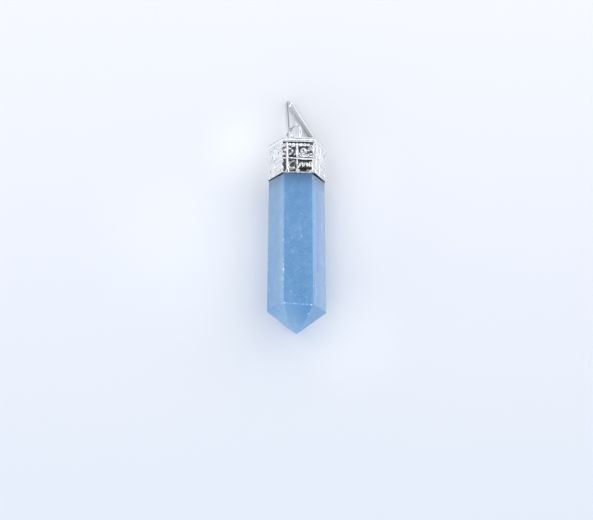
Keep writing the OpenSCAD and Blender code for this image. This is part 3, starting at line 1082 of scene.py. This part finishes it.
# %% Press the die into the wall
SHARP_CORNER, SOFT_CORNER = 48, 18
CORNER_WIDTH = 0.08
UNEVEN, UNEVEN_SIZES = 0.28, ((0.5, 1.1), (0.8, 3.4), (0.5, 7.0))
HEAD_EVENNESS, HEAD_ZONE = 0.6, 0.3
points = points_of(cap)
u, v, face, half, face_half = on_face(points)
drawn_u = drawn_place(u, face_half)
height = die(drawn_u, v)
held = rises(face_half - np.abs(u), 0.0, CORNER_WIDTH)
at_ends = np.maximum(rises(v, HEAD_FROM, HEAD_TO), ridge(v - FOOT_BEAD[0], FOOT_BEAD[1]))
height = at_ends + (height - at_ends) * held
freedom = 1 - HEAD_EVENNESS * rises(v, HEAD_FROM - HEAD_ZONE, HEAD_FROM)
height += UNEVEN * bumps(points, UNEVEN_SIZES) * freedom
height = np.minimum(height, 1.0)
away = points[:, :2] @ outward
sharpness = np.where((points[:, 0] > 0) & (points[:, 1] < 0), SOFT_CORNER, SHARP_CORNER)
soft_half = np.log(np.exp(sharpness[:, None] * (away - half[:, None])).sum(axis=1)) / sharpness + half
scale = half / soft_half * (half + RELIEF_H * height) / half
points[:, :2] *= scale[:, None]
put_points(cap, points)
print("pressed up to", round(float(RELIEF_H * height.max()), 3), "mm")

# %% [markdown]
# The rim and the foot follow from the pressed wall. Its top edge is extruded round a quarter of a
# long ellipse and closed over the end of the crystal. Its foot is folded in and extruded up inside,
# so that the cap is a true shell with the thickness of its sheet.

# %% The rim, the top and the inside of the cap
RIM_STEPS = 10
TOP_STEPS = 8
FOLD = 0.05
INSIDE_Z = cap_head_z - SHEET_T


def grow(half_before, half_after, rise):
    """Extrudes the selected edge loop to another half width and height."""
    share = half_after / half_before
    bpy.ops.mesh.extrude_region_move(TRANSFORM_OT_translate={"value": (0, 0, rise)})
    bpy.ops.transform.resize(value=(share, share, 1), center_override=(0, 0, 0))


def close_loop():
    """Joins the selected edge loop to one point, so that the surface is closed."""
    bpy.ops.mesh.extrude_region_move()
    bpy.ops.mesh.merge(type="CENTER")


border_head_half = sheet_head_half + RELIEF_H
edit(cap)
pick(cap, "vertices", lambda p, v: p.z > wall_head_z - NEAR)
half_now, z_now = border_head_half, wall_head_z
for step in range(1, RIM_STEPS + 1):
    turn = math.radians(90 * step / RIM_STEPS)
    half_next = border_head_half - RIM_R + RIM_R * math.cos(turn)
    z_next = wall_head_z + RIM_RISE * math.sin(turn)
    grow(half_now, half_next, z_next - z_now)
    half_now, z_now = half_next, z_next
for step in range(1, TOP_STEPS):
    half_next = (border_head_half - RIM_R) * (1 - step / TOP_STEPS)
    grow(half_now, half_next, 0)
    half_now = half_next
close_loop()

edit(cap)
pick(cap, "vertices", lambda p, v: p.z < cap_foot_z + NEAR)
inner_foot = sheet_foot_half - SHEET_T
inner_head = sheet_head_half - SHEET_T
grow(sheet_foot_half, sheet_foot_half - FOLD, 0)
grow(sheet_foot_half - FOLD, inner_foot, FOLD)
grow(inner_foot, inner_head, wall_len - FOLD)
grow(inner_head, sheet_head_half - RIM_R - SHEET_T / 2, INSIDE_Z - wall_head_z)
close_loop()
bpy.ops.mesh.select_all(action="SELECT")
bpy.ops.mesh.normals_make_consistent(inside=False)
bpy.ops.object.mode_set(mode="OBJECT")
bpy.ops.object.shade_smooth_by_angle(angle=math.radians(60))
print("the cap has", len(cap.data.polygons), "faces")

# %% [markdown]
# So thin a rim is dented by every knock. Without dents it mirrors the room as one clean bar, which
# looks machined. The dents only go inward, so the cap doesn't grow.

# %% Dent the rim
RIM_DENT, DENT_SIZES = 0.07, ((0.4, 2.4), (0.3, 8))
DENTS_FROM, DENTS_FULL = -0.3, 0.2
points = points_of(cap)
dented = np.clip(0.5 + bumps(points, DENT_SIZES), 0, 1)
dented *= rises(points[:, 2] - wall_head_z, DENTS_FROM, DENTS_FULL)
points[:, :2] *= (1 - RIM_DENT / border_head_half * dented)[:, None]
points[:, 2] -= RIM_DENT * dented
put_points(cap, points)
print("the rim is dented by up to", round(RIM_DENT * float(dented.max()), 3), "mm")

# %% [markdown]
# Tarnish gathers where a polishing cloth doesn't reach: beside every stroke of the die and in
# mottled spots of its ground. A point lies in a recess if its surroundings are higher than itself,
# and the die can be asked for both. Some recesses of the side in view are much darker than that:
# they are painted shade, drawn as strokes in the words of the die. The foot gets painted shade as
# well, and the rim is darker along its top.

# %% Where the cap is tarnished and where shade is painted
RECESS_REACH, RECESS_GAIN, RECESS_WAYS = 0.07, 4.5, 8
MOTTLE, MOTTLE_SIZES = 0.55, ((2.5, 5.5),)
MOTTLE_BELOW, DEEP_BELOW = 0.3, 0.6
SIDE_SHARE = {-1: 0.30, 0: 0.30, 1: 0.32}
# painted shade, drawn as dark strokes in the deepest recesses
DEEP_RECESS_SHADE = [
    # start, end, half width, amount
    ((-1.50, 4.92), (1.45, 4.90), 0.15, 1.0),
    ((-1.45, 4.25), (-0.50, 4.05), 0.30, 0.6),
    ((-1.45, 2.64), (-0.42, 2.64), 0.20, 1.0),
    ((-2.40, 3.85), (-2.26, 3.20), 0.12, 1.0),
    ((-2.20, 2.75), (-2.12, 2.50), 0.13, 1.0),
    ((-1.05, 3.35), (-0.95, 2.95), 0.20, 0.6),
    ((-2.08, 2.10), (-2.02, 0.50), 0.17, 0.8),
    ((-1.05, 1.80), (-1.05, 0.45), 0.42, 0.4),
    ((0.02, 1.95), (2.12, 1.98), 0.22, 1.0),
    ((0.35, 0.62), (1.90, 0.62), 0.36, 0.9),
    ((-0.18, 2.83), (0.42, 2.48), 0.13, 1.0),
    ((1.20, 4.05), (2.25, 3.28), 0.12, 1.0),
    ((2.36, 0.05), (2.52, 0.10), 0.12, 1.0),
]
# painted shade in an arc around the rosette
DARK_ARC_SHADE = (0.84, 3.52, 0.68, 20, 140, 0.12, 1.0)
# How far up the painted shade at the foot reaches in mm: on the faces to the left, in front and to the
# right.
FOOT_SHADE = {-1: 0.07, 0: -0.01, 1: 0.14}
# the rim is darker along its top, less in front
RIM_DARKENING, RIM_DARKENING_IN_FRONT = 0.75, 0.2
RIM_FROM, RIM_FULL = 0.28, 0.42
WALL_DEPTH = 0.05
print("dark strokes:", len(DEEP_RECESS_SHADE))

# %% [markdown]
# The amount of tarnish and painted shade is kept at each point of the mesh, from 0 to 1, and the
# silver's finish reads it there. The inside of the cap is fully dark, as painted shade. The faces
# beside the front get less, because the photo shows them nearly clean, and so does the front part of
# the rim.


# %% Mark the tarnish and the painted shade of the cap
def mark_tarnish_and_shade(piece, amount):
    """Marks how much tarnish and painted shade each corner of a piece has, from 0 to 1."""
    mark = piece.data.attributes.new("tarnish_and_shade", "FLOAT", "POINT")
    mark.data.foreach_set("value", amount.astype(np.float32))


points = points_of(cap)
u, v, face, half, face_half = on_face(points)
drawn_u = drawn_place(u, face_half)
here = die(drawn_u, v)
around = np.zeros_like(here)
for turn in np.radians(360 / RECESS_WAYS * np.arange(RECESS_WAYS)):
    beside_u, beside_v = drawn_u + RECESS_REACH * np.cos(turn), v + RECESS_REACH * np.sin(turn)
    around += die(beside_u, beside_v) / RECESS_WAYS
mottled = MOTTLE * np.clip(bumps(points, MOTTLE_SIZES), 0, 1)
tarnish_and_shade = np.maximum(np.clip(RECESS_GAIN * (around - here), 0, 1), mottled * (here < MOTTLE_BELOW))
for row in DEEP_RECESS_SHADE:
    tarnish_and_shade = np.maximum(tarnish_and_shade, stroke(drawn_u, v, *row) * (here < DEEP_BELOW))
tarnish_and_shade = np.maximum(tarnish_and_shade, arch(drawn_u, v, *DARK_ARC_SHADE))

body_distance = np.max(points[:, :2] @ outward, axis=1)
below_rim = points[:, 2] < wall_head_z
on_wall = below_rim & (half - body_distance < WALL_DEPTH)
side = np.where(face == 0, 0, np.sign(points[:, 0])).astype(int)
side_share = np.array([SIDE_SHARE[int(s)] for s in side])
tarnish_and_shade = tarnish_and_shade * on_wall * np.where(face == 0, 1, side_share)
foot_shade = np.array([FOOT_SHADE[int(s)] for s in side])
shaded_foot = (v < foot_shade) & on_wall
# painted shade: the foot of the wall and the inside of the cap are fully dark
tarnish_and_shade[shaded_foot | ~on_wall & below_rim] = 1
on_rim = rises(points[:, 2] - wall_head_z, RIM_FROM, RIM_FULL)
on_rim = on_rim * (body_distance > border_head_half - RIM_R)
rim_share = np.where(face == 0, RIM_DARKENING_IN_FRONT, 1)
tarnish_and_shade = np.maximum(tarnish_and_shade, RIM_DARKENING * on_rim * rim_share)
mark_tarnish_and_shade(cap, tarnish_and_shade)
print("share of the points with much tarnish:", round(float((tarnish_and_shade > 0.5).mean()), 2))

# %% [markdown]
# The cap was squeezed on by hand and sits a little wide in front: its two front corners stand
# further apart than those of the stone. A proportional move would bend the faces, so the shift
# grows evenly from the middle of a face to its corner, and every face stays flat.

# %% Squeeze the cap wide in front
# For the left (-1) and the right (1) corner, how far it moves at the foot and at the head.
FRONT_WIDER = {-1: (0.18, 0.17), 1: (0.22, 0.38)}
points = points_of(cap)
share_up = np.clip((points[:, 2] - cap_foot_z) / wall_len, 0, 1)
corner_half = sheet_foot_half + (sheet_head_half - sheet_foot_half) * share_up
corner_x = corner_half * math.tan(math.pi / SIDES)
squeezed = points.copy()
for side, (at_foot, at_head) in FRONT_WIDER.items():
    on_front = np.clip(side * squeezed[:, 0] / corner_x, 0, None)
    share = np.minimum(on_front, np.clip(-points[:, 1] / corner_half, 0, None))
    squeezed[:, 0] += side * share * (at_foot + (at_head - at_foot) * share_up)
put_points(cap, squeezed)
print("squeezed wider by up to", round(float(np.abs(squeezed - points).max()), 2), "mm")

cap.data.materials.append(silver)
finish_piece(cap, "stamped_cap", ["cap"])

# %% [markdown]
# The eye is a ring of round wire, and its foot stands in a drop of solder on the cap. Solder flows,
# so the ring and the drop are fused and smoothed as one body by a fine remesh.

# %% The eye with its solder
SOLDER_R, SOLDER_NARROW, SOLDER_H = 0.75, 0.8, 0.4
SOLDER_SINK, SOLDER_CUT = 0.02, 0.12
FUSE_SIZE, FUSE_STEPS = 0.035, 6
ring_middle = (-EYE_LEFT, 0, cap_head_z + EYE_OUTER / 2 - EYE_SINK)

bpy.ops.object.select_all(action="DESELECT")
bpy.ops.mesh.primitive_torus_add(
    major_radius=(EYE_OUTER - EYE_WIRE) / 2, minor_radius=EYE_WIRE / 2,
    major_segments=128, minor_segments=32)
eye = bpy.context.object
eye.matrix_world = (Matrix.Translation(ring_middle) @ Matrix.Rotation(-EYE_TURN, 4, "Z")
                    @ Matrix.Rotation(math.radians(90), 4, "X"))
bpy.ops.object.transform_apply(location=True, rotation=True, scale=True)

bpy.ops.object.select_all(action="DESELECT")
bpy.ops.mesh.primitive_uv_sphere_add(
    segments=48, ring_count=24, radius=1, location=(-EYE_LEFT, 0, cap_head_z - SOLDER_SINK))
drop = bpy.context.object
drop.scale = (SOLDER_R, SOLDER_R * SOLDER_NARROW, SOLDER_H)
drop.rotation_euler = (0, 0, -EYE_TURN)
bpy.ops.object.transform_apply(location=True, rotation=True, scale=True)
edit(drop)
bpy.ops.mesh.select_all(action="SELECT")
bpy.ops.mesh.bisect(
    plane_co=(0, 0, cap_head_z - SOLDER_CUT), plane_no=(0, 0, 1), use_fill=True, clear_inner=True)
only(eye)
drop.select_set(True)
bpy.ops.object.join()
apply_modifier(eye, "REMESH", mode="VOXEL", voxel_size=FUSE_SIZE, use_smooth_shade=True)
apply_modifier(eye, "CORRECTIVE_SMOOTH", factor=0.5, iterations=FUSE_STEPS, use_only_smooth=True)
print("ring and solder have", len(eye.data.polygons), "faces")

# %% [markdown]
# The ring is bright on its outside. Its inside gets painted shade, so that is marked where the wire
# faces the middle of the ring.

# %% Painted shade inside the ring
RING_INSIDE_SHADE = 0.40
FACING_FROM, FACING_FULL = 0.55, 0.95


def normals_of(piece):
    """The directions in which the surface of a piece faces at its corners."""
    flat = np.empty(3 * len(piece.data.vertices))
    piece.data.vertex_normals.foreach_get("vector", flat)
    return flat.reshape(-1, 3)


ring_axis = np.array([-math.sin(EYE_TURN), -math.cos(EYE_TURN), 0])
from_middle = points_of(eye) - np.array(ring_middle)
from_middle -= (from_middle @ ring_axis)[:, None] * ring_axis
from_middle /= np.linalg.norm(from_middle, axis=1)[:, None]
facing_in = -np.sum(from_middle * normals_of(eye), axis=1)
inside = rises(facing_in, FACING_FROM, FACING_FULL)
# painted shade on the inside of the ring
mark_tarnish_and_shade(eye, RING_INSIDE_SHADE * inside)
print("share of the ring with tarnish:", round(float((inside > 0.5).mean()), 2))

eye.data.materials.append(shaded_wire_silver)
finish_piece(eye, "soldered_eye", ["cap"])

# %% [markdown]
# The bail is a flat strip, bent to a rounded triangle and hung in the eye. Its solid already has the
# true bends, so the piece starts as a copy of that solid.

# %% The bail
bail_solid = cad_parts["bail"]
bail = bpy.data.objects.new("bail_copy", bail_solid.data.copy())
scene.collection.objects.link(bail)
bail.data.materials.clear()
only(bail)
bail.matrix_world = LAID.inverted() @ bail_solid.matrix_world
bpy.ops.object.transform_apply(location=True, rotation=True, scale=True)
edit(bail)
bpy.ops.mesh.select_all(action="SELECT")
bpy.ops.mesh.remove_doubles(threshold=0.0005)
bpy.ops.mesh.dissolve_limited(angle_limit=math.radians(0.5))
bpy.ops.object.mode_set(mode="OBJECT")
print("the bail starts with", len(bail.data.polygons), "faces")

# %% [markdown]
# A bail hangs loose. Here it has slid down in the ring, so that its base lies just behind the rim of
# the cap, lower at the left than at the right. Its head stays, and each corner of the base is let
# down by its own slip. A point in between moves by its share, which grows evenly from the opposite
# leg to the corner, so the legs and the base stay straight.

# %% Let the bail slip down in the ring
# The way across the strip, and the three corners of the triangle as the solid has them.
BAIL_WAY = np.array([0.634, -0.667, 0.392])
BAIL_LEFT = np.array([-1.75, 0.10, 2.90 + cap_head_z])
BAIL_RIGHT = np.array([2.35, 3.20, 2.80 + cap_head_z])
BAIL_HEAD = np.array([-0.95, 3.00, 8.70 + cap_head_z])
LEFT_SLIP = np.array([0.26, -0.70, -1.65])
RIGHT_SLIP = np.array([0.15, 0.0, -0.33])
places = points_of(bail)
slipped = places.copy()
slips = ((BAIL_LEFT, LEFT_SLIP, BAIL_RIGHT), (BAIL_RIGHT, RIGHT_SLIP, BAIL_LEFT))
for corner, slip, leg_end in slips:
    from_leg = np.cross(BAIL_HEAD - leg_end, BAIL_WAY)
    share = (places - leg_end) @ from_leg / ((corner - leg_end) @ from_leg)
    slipped += np.clip(share, 0, None)[:, None] * slip
put_points(bail, slipped)
print("slipped by up to", round(float(np.abs(slipped - places).max()), 2), "mm")

# %% [markdown]
# A real strip is rolled, so its edges are round. They are bevelled, which also draws the light line
# along each edge.

# %% Round the edges of the strip
BAIL_EDGE, BAIL_EDGE_STEPS = 0.155, 4
apply_modifier(bail, "BEVEL", width=BAIL_EDGE, segments=BAIL_EDGE_STEPS, limit_method="ANGLE",
               angle_limit=math.radians(50))
only(bail)
bpy.ops.object.shade_smooth_by_angle(angle=math.radians(40))
print("the bail has", len(bail.data.polygons), "faces")

# %% [markdown]
# The strip is darkened by painted shade and painted dark reflections, in the same mark as tarnish.
# On the left leg that is a band along its upper half, weaker in the corner of the base, with a trace
# along the lower edge. On the right leg it is the side that looks at the left one.

# %% Painted shade on the bail
# painted shade and dark reflections on the legs and the corner of the strip
LEFT_LEG_SHADE, CORNER_SHADE, RIGHT_LEG_SHADE = 0.45, 0.15, 0.50
# Each is a soft border in mm: along x, up from the cap, or across the strip from its middle.
LEFT_LEG_ENDS, CORNER_ENDS = (-1.20, -0.85), (2.0, 2.8)
UPPER_HALF_FROM = (-0.15, 0.15)
TRACE_SHADE, TRACE_ENDS = 0.10, (-0.42, -0.30)
RIGHT_LEG_FROM, RIGHT_FROM_HEIGHT, FACING_LEFT_FROM = (-0.6, 0.4), (2.2, 3.6), (0.2, 0.6)
places, facing = points_of(bail), normals_of(bail)
above_cap = places[:, 2] - cap_head_z
across_strip = places @ BAIL_WAY
across_strip -= (across_strip.max() + across_strip.min()) / 2
on_left = 1 - rises(places[:, 0], *LEFT_LEG_ENDS)
in_corner = 1 - rises(above_cap, *CORNER_ENDS)
shade_trace = TRACE_SHADE * (1 - rises(across_strip, *TRACE_ENDS))
shade_band = np.maximum(rises(across_strip, *UPPER_HALF_FROM), shade_trace)
left = on_left * shade_band * (LEFT_LEG_SHADE + (CORNER_SHADE - LEFT_LEG_SHADE) * in_corner)
on_right = rises(places[:, 0], *RIGHT_LEG_FROM) * rises(above_cap, *RIGHT_FROM_HEIGHT)
right = RIGHT_LEG_SHADE * on_right * rises(-facing[:, 0], *FACING_LEFT_FROM)
# painted shade and dark reflections on the bail
mark_tarnish_and_shade(bail, left + right)
print("strip from", round(float(across_strip.min()), 2), "to", round(float(across_strip.max()), 2))
print("bail heights above the cap", round(float(above_cap.min()), 2), round(float(above_cap.max()), 2))

bail.data.materials.append(shaded_wire_silver)
finish_piece(bail, "triangle_bail", ["bail"])
